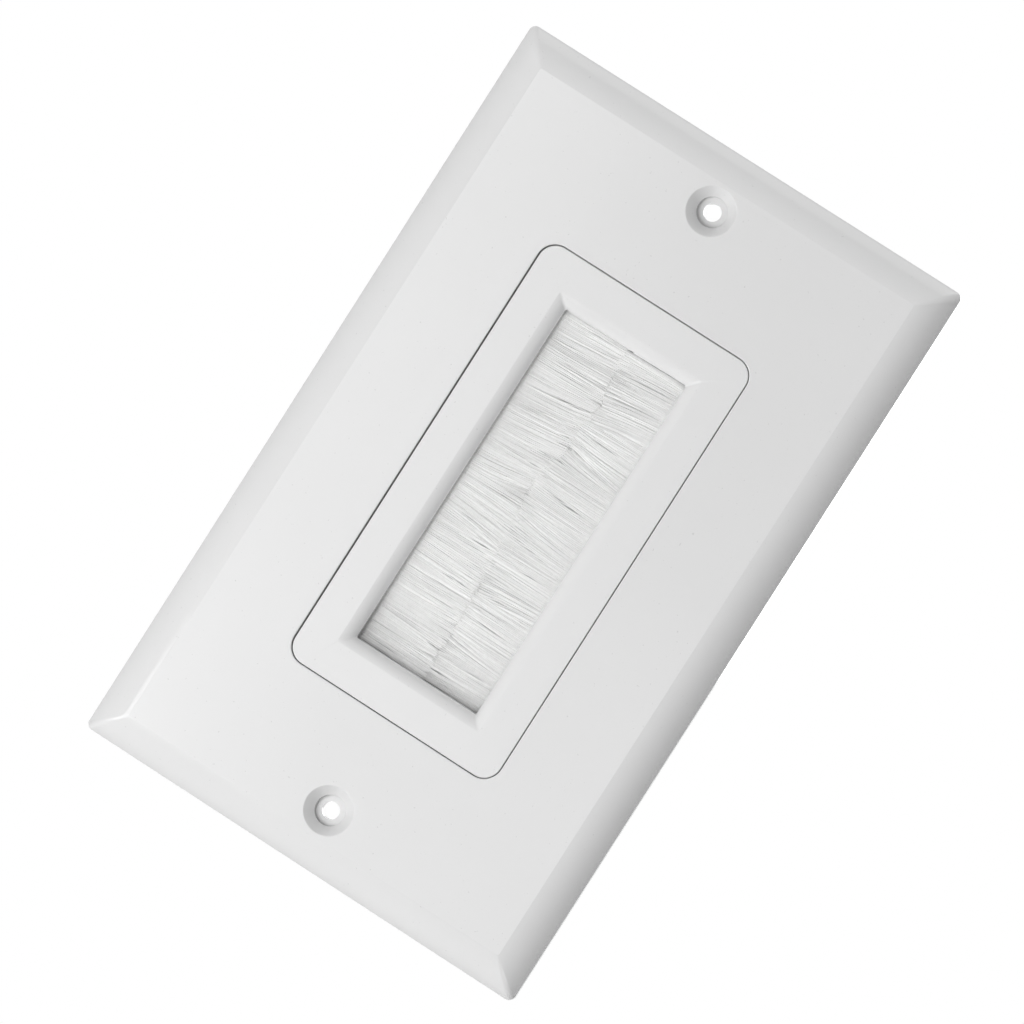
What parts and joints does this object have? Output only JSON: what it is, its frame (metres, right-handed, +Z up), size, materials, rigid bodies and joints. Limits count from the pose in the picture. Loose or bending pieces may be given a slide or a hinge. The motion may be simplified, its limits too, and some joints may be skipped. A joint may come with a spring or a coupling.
{
  "type": "brush wall plate",
  "caption": "Single-gang wall plate in white plastic with a central window closed by facing nylon brush strips, for passing cables through a wall.",
  "frame": {"origin": "centre of the cover, in the plane of the wall that its rim stands on", "axes": "+Z up the wall along the cover's length, +Y into the wall, -Y out of the wall towards the viewer, +X to the viewer's right"},
  "size_m": [0.0698, 0.0107, 0.1142],
  "materials": {
    "cover_plastic": "semi-gloss white moulded plastic",
    "insert_plastic": "semi-gloss white moulded plastic",
    "retainer_plastic": "satin white moulded plastic",
    "channel_steel": "bright zinc-coated strip",
    "wire_steel": "drawn steel wire",
    "bristle_nylon": "fine white nylon filaments",
    "screw_steel": "zinc-coated pan-head screws"
  },
  "bodies": {
    "root": {"wall_plate": "cover_plastic", "insert_frame": "insert_plastic", "back_frame": "retainer_plastic", "brush_channel_left": "channel_steel", "brush_channel_right": "channel_steel", "core_wire_left": "wire_steel", "core_wire_right": "wire_steel", "bristles_left": "bristle_nylon", "bristles_right": "bristle_nylon", "retainer_screw_1": "screw_steel", "retainer_screw_2": "screw_steel", "retainer_screw_3": "screw_steel", "retainer_screw_4": "screw_steel"}
  },
  "joints": []
}
